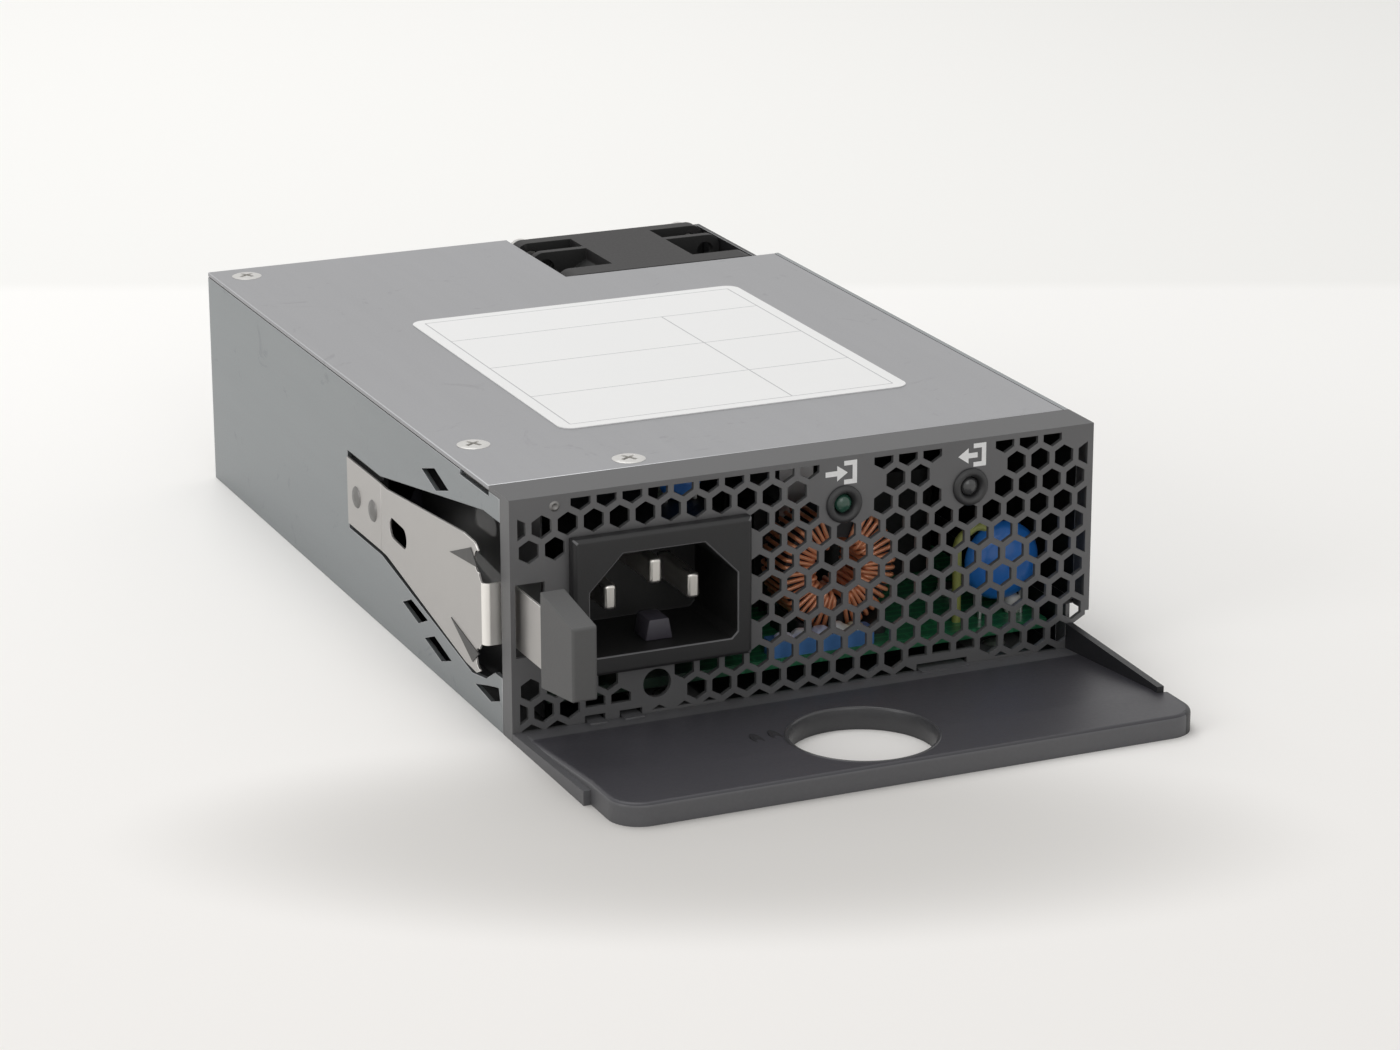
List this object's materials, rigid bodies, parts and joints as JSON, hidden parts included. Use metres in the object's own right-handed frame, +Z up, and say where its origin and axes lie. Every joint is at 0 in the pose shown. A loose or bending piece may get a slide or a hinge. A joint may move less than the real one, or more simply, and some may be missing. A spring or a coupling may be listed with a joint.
{
  "type": "hot swap server power supply",
  "caption": "Hot swap server power supply: steel case with honeycomb face, three pole inlet, side latch with thumb grip, pull handle with finger hole, rear fan and card edge output.",
  "frame": {"origin": "centre of the flat underside of the case, midway along the case and midway between its long walls", "axes": "+Z up, +Y from the honeycomb face towards the rear wall, +X to the right seen from the face"},
  "size_m": [0.1025, 0.1966, 0.0389],
  "materials": {
    "zinc_steel": "satin galvanised sheet steel",
    "lid_steel": "satin galvanised sheet steel, slightly lighter",
    "dark_steel": "dark grey powder coat on sheet steel",
    "black_plastic": "fine textured black moulding",
    "inlet_plastic": "black moulding",
    "grip_plastic": "dark grey moulding",
    "spring_steel": "bright spring steel",
    "screw_steel": "bright zinc plate",
    "pin_metal": "nickel plate",
    "board_green": "green solder resist",
    "gold": "gold plate",
    "film": "black polyester film",
    "ferrite": "dark grey ferrite",
    "copper": "enamelled copper wire",
    "blue_resin": "blue epoxy dip",
    "blue_case": "blue moulded case",
    "white_resin": "white potting resin",
    "choke_nylon": "dark nylon",
    "can_sleeve": "shrunk black sleeve",
    "tape": "yellow polyester tape",
    "aluminium": "mill finish extrusion",
    "epoxy_black": "black epoxy package",
    "lens_green": "green tinted light pipe",
    "lens_clear": "frosted clear light pipe",
    "label_white": "white matt polyester film",
    "fan_plastic": "black glass filled moulding"
  },
  "bodies": {
    "housing": {"chassis_base": "zinc_steel", "top_cover": "lid_steel", "cover_screws": "screw_steel", "front_bezel": "dark_steel", "bezel_rivets": "screw_steel", "inlet_housing": "inlet_plastic", "inlet_line_pins": "pin_metal", "inlet_earth_pin": "pin_metal", "pull_handle": "black_plastic", "latch_bracket": "zinc_steel", "latch_root": "spring_steel", "latch_rivets": "screw_steel", "fan_frame": "fan_plastic", "fan_guard": "zinc_steel", "fan_screws": "screw_steel", "main_board": "board_green", "board_standoffs": "screw_steel", "board_screws": "screw_steel", "insulating_sheet": "film", "output_contacts": "gold", "filter_capacitor": "blue_case", "capacitor_potting": "white_resin", "choke_core": "ferrite", "choke_winding": "copper", "choke_base": "choke_nylon", "varistor_disc": "blue_resin", "class_y_capacitor": "blue_resin", "bulk_capacitors": "can_sleeve", "power_transformer": "ferrite", "transformer_winding": "tape", "primary_heatsink": "aluminium", "secondary_heatsink": "aluminium", "power_transistors": "epoxy_black", "boost_choke": "epoxy_black", "light_holders": "black_plastic", "status_light_in": "lens_green", "status_light_out": "lens_clear", "rating_label": "label_white"},
    "latch": {"latch_blade": "spring_steel", "latch_grip": "grip_plastic"},
    "fan_wheel": {"fan_rotor": "fan_plastic"}
  },
  "joints": [
    {"name": "latch_flex", "type": "hinge", "parent": "housing", "child": "latch", "pos_m": [-0.0501, -0.01735, 0.01935], "axis": [0, 0, 1], "range_deg": [0, 3.2], "stiffness_Nm_per_rad": 8},
    {"name": "fan_spin", "type": "hinge", "parent": "housing", "child": "fan_wheel", "pos_m": [0.0271, 0.05935, 0.0198], "axis": [0, 1, 0], "continuous": true}
  ]
}
